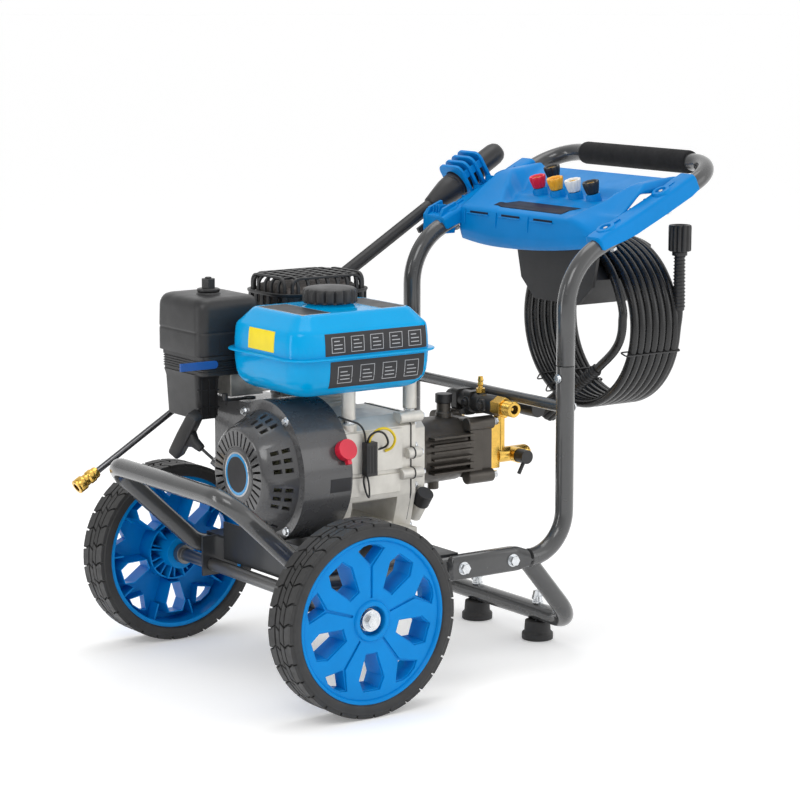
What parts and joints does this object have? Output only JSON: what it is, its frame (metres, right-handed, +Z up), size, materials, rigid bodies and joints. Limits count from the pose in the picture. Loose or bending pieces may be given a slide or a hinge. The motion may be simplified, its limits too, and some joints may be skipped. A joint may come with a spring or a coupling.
{
  "type": "pressure washer",
  "caption": "Two-wheeled petrol pressure washer: tubular trolley with engine, axial pump, nozzle console, holstered spray gun and coiled hose.",
  "frame": {"origin": "middle of the base: the centre of the whole object's box without the hose, on the ground", "axes": "+X from the front bumper to the handle, +Y to the side with the gun, air filter and muffler, +Z up"},
  "size_m": [0.831, 0.542, 0.6902],
  "materials": {
    "frame_paint": "gloss anthracite paint",
    "base_paint": "satin black paint",
    "axle_steel": "ground steel",
    "zinc": "zinc plated",
    "foam": "closed-cell foam",
    "foot_rubber": "moulded rubber",
    "rim_plastic": "satin blue polypropylene",
    "tyre_rubber": "matt tyre rubber",
    "cast_alloy": "as-cast, satin",
    "steel": "machined steel",
    "fan_casting": "pale cast",
    "engine_black": "satin black paint",
    "shroud_paint": "gloss dark grey paint",
    "tank_paint": "gloss blue paint",
    "black_plastic": "moulded black plastic",
    "exhaust_steel": "heat-stained steel",
    "guard_paint": "black heat paint",
    "carb_alloy": "die cast",
    "choke_blue": "blue plastic",
    "switch_red": "red plastic",
    "pump_casting": "dark anodised casting",
    "brass": "machined brass",
    "unloader_black": "black anodised",
    "console_plastic": "satin blue polypropylene",
    "nozzle_yellow": "yellow plastic",
    "nozzle_white": "white plastic",
    "lance_steel": "bright steel",
    "hose_rubber": "smooth hose cover",
    "fitting_plastic": "ribbed black plastic"
  },
  "bodies": {
    "frame": {"front_bumper": "frame_paint", "rear_foot_frame": "frame_paint", "engine_base": "base_paint", "axle": "axle_steel", "uprights": "frame_paint", "handle_tube": "frame_paint", "cross_bar": "frame_paint", "handle_grip": "foam", "rubber_feet": "foot_rubber", "foot_studs": "zinc", "hex_bolts": "zinc", "crankcase": "cast_alloy", "side_cover": "cast_alloy", "piston": "steel", "cylinder": "cast_alloy", "rocker_cover": "engine_black", "fan_shroud": "shroud_paint", "recoil_cover": "shroud_paint", "fuel_tank": "tank_paint", "muffler": "exhaust_steel", "muffler_guard": "guard_paint", "air_filter_base": "black_plastic", "air_filter_cover": "black_plastic", "carburettor": "carb_alloy", "oil_alert_unit": "black_plastic", "pump_body": "pump_casting", "brass_manifold": "brass", "unloader": "unloader_black", "console": "console_plastic", "hose_hanger": "black_plastic", "hose_coil": "hose_rubber", "hose_tail_front": "hose_rubber", "hose_tail_rear": "hose_rubber", "hose_fittings": "fitting_plastic"},
    "wheel_near": {"rim_near": "rim_plastic", "tyre_near": "tyre_rubber"},
    "wheel_far": {"rim_far": "rim_plastic", "tyre_far": "tyre_rubber"},
    "crank": {"crankshaft": "steel", "flywheel": "fan_casting", "swash_plate": "steel"},
    "recoil_reel": {"recoil_reel": "black_plastic"},
    "recoil_grip": {"recoil_grip": "black_plastic"},
    "gun": {"gun_body": "black_plastic", "lance": "lance_steel"},
    "gun_trigger": {"gun_trigger": "black_plastic"},
    "fuel_cap": {"fuel_cap": "black_plastic"},
    "air_filter_nut": {"air_filter_nut": "black_plastic"},
    "choke_lever": {"choke_lever": "choke_blue"},
    "throttle_lever": {"throttle_lever": "engine_black"},
    "engine_switch": {"engine_switch": "switch_red"},
    "oil_dipstick": {"oil_dipstick": "black_plastic"},
    "unloader_knob": {"unloader_knob": "black_plastic"},
    "inlet_tap": {"inlet_tap": "black_plastic"},
    "pump_oil_cap": {"pump_oil_cap": "black_plastic"},
    "nozzle_red": {"nozzle_red": "switch_red"},
    "nozzle_yellow": {"nozzle_yellow": "nozzle_yellow"},
    "nozzle_white": {"nozzle_white": "nozzle_white"},
    "nozzle_black": {"nozzle_black": "black_plastic"},
    "nozzle_soap": {"nozzle_soap": "black_plastic"}
  },
  "joints": [
    {"name": "wheel_near_spin", "type": "hinge", "parent": "frame", "child": "wheel_near", "pos_m": [-0.25515, -0.2438, 0.127], "axis": [0, 1, 0], "continuous": true},
    {"name": "wheel_far_spin", "type": "hinge", "parent": "frame", "child": "wheel_far", "pos_m": [-0.25515, 0.2438, 0.127], "axis": [0, 1, 0], "continuous": true},
    {"name": "crank_spin", "type": "hinge", "parent": "frame", "child": "crank", "pos_m": [-0.10515, 0.015, 0.275], "axis": [1, 0, 0], "continuous": true},
    {"name": "recoil_reel_turn", "type": "hinge", "parent": "frame", "child": "recoil_reel", "pos_m": [-0.26615, 0.015, 0.275], "axis": [1, 0, 0], "range_deg": [0, 570], "stiffness_Nm_per_rad": 0.02, "springref_deg": -343.77},
    {"name": "recoil_grip_pull", "type": "slide", "parent": "frame", "child": "recoil_grip", "axis": [-0.4107, 0.6845, 0.6023], "range_m": [0, 0.45]},
    {"name": "fuel_cap_turn", "type": "hinge", "parent": "frame", "child": "fuel_cap", "pos_m": [-0.14115, 0, 0.51], "axis": [0, 0, 1], "range_deg": [0, 90]},
    {"name": "air_filter_nut_turn", "type": "hinge", "parent": "frame", "child": "air_filter_nut", "pos_m": [-0.24115, 0.153, 0.506], "axis": [0, 0, 1], "range_deg": [0, 360]},
    {"name": "choke_lever_swing", "type": "hinge", "parent": "frame", "child": "choke_lever", "pos_m": [-0.26715, 0.096, 0.413], "axis": [0, 1, 0], "range_deg": [-45, 0]},
    {"name": "throttle_lever_swing", "type": "hinge", "parent": "frame", "child": "throttle_lever", "pos_m": [-0.21315, 0.092, 0.363], "axis": [0, 0, 1], "range_deg": [0, 35]},
    {"name": "engine_switch_turn", "type": "hinge", "parent": "frame", "child": "engine_switch", "pos_m": [-0.17115, -0.07586, 0.30897], "axis": [0, -0.9367, 0.3502], "range_deg": [0, 60]},
    {"name": "oil_dipstick_pull", "type": "slide", "parent": "frame", "child": "oil_dipstick", "axis": [0, -0.6, 0.8], "range_m": [0, 0.06]},
    {"name": "unloader_knob_turn", "type": "hinge", "parent": "frame", "child": "unloader_knob", "pos_m": [0.17285, -0.04, 0.33], "axis": [0, -1, 0], "range_deg": [0, 270]},
    {"name": "inlet_tap_turn", "type": "hinge", "parent": "frame", "child": "inlet_tap", "pos_m": [0.16285, -0.04, 0.26], "axis": [0, -1, 0], "range_deg": [0, 90]},
    {"name": "pump_oil_cap_turn", "type": "hinge", "parent": "frame", "child": "pump_oil_cap", "pos_m": [0.06085, 0.015, 0.345], "axis": [0, 0, 1], "range_deg": [0, 360]},
    {"name": "gun_lift", "type": "slide", "parent": "frame", "child": "gun", "axis": [0.8581, 0, 0.5135], "range_m": [0, 0.75]},
    {"name": "gun_trigger_squeeze", "type": "hinge", "parent": "gun", "child": "gun_trigger", "pos_m": [0.20969, 0.232, 0.58482], "axis": [0, 1, 0], "range_deg": [0, 6], "stiffness_Nm_per_rad": 0.8, "springref_deg": -14.32},
    {"name": "nozzle_red_pull", "type": "slide", "parent": "frame", "child": "nozzle_red", "axis": [-0.2588, 0, 0.9659], "range_m": [0, 0.03]},
    {"name": "nozzle_yellow_pull", "type": "slide", "parent": "frame", "child": "nozzle_yellow", "axis": [-0.2588, 0, 0.9659], "range_m": [0, 0.03]},
    {"name": "nozzle_white_pull", "type": "slide", "parent": "frame", "child": "nozzle_white", "axis": [-0.2588, 0, 0.9659], "range_m": [0, 0.03]},
    {"name": "nozzle_black_pull", "type": "slide", "parent": "frame", "child": "nozzle_black", "axis": [-0.2588, 0, 0.9659], "range_m": [0, 0.03]},
    {"name": "nozzle_soap_pull", "type": "slide", "parent": "frame", "child": "nozzle_soap", "axis": [-0.2588, 0, 0.9659], "range_m": [0, 0.03]}
  ],
  "couplings": [
    {"joint": "recoil_grip_pull", "follows": "recoil_reel_turn", "m_per_rad": 0.045}
  ]
}
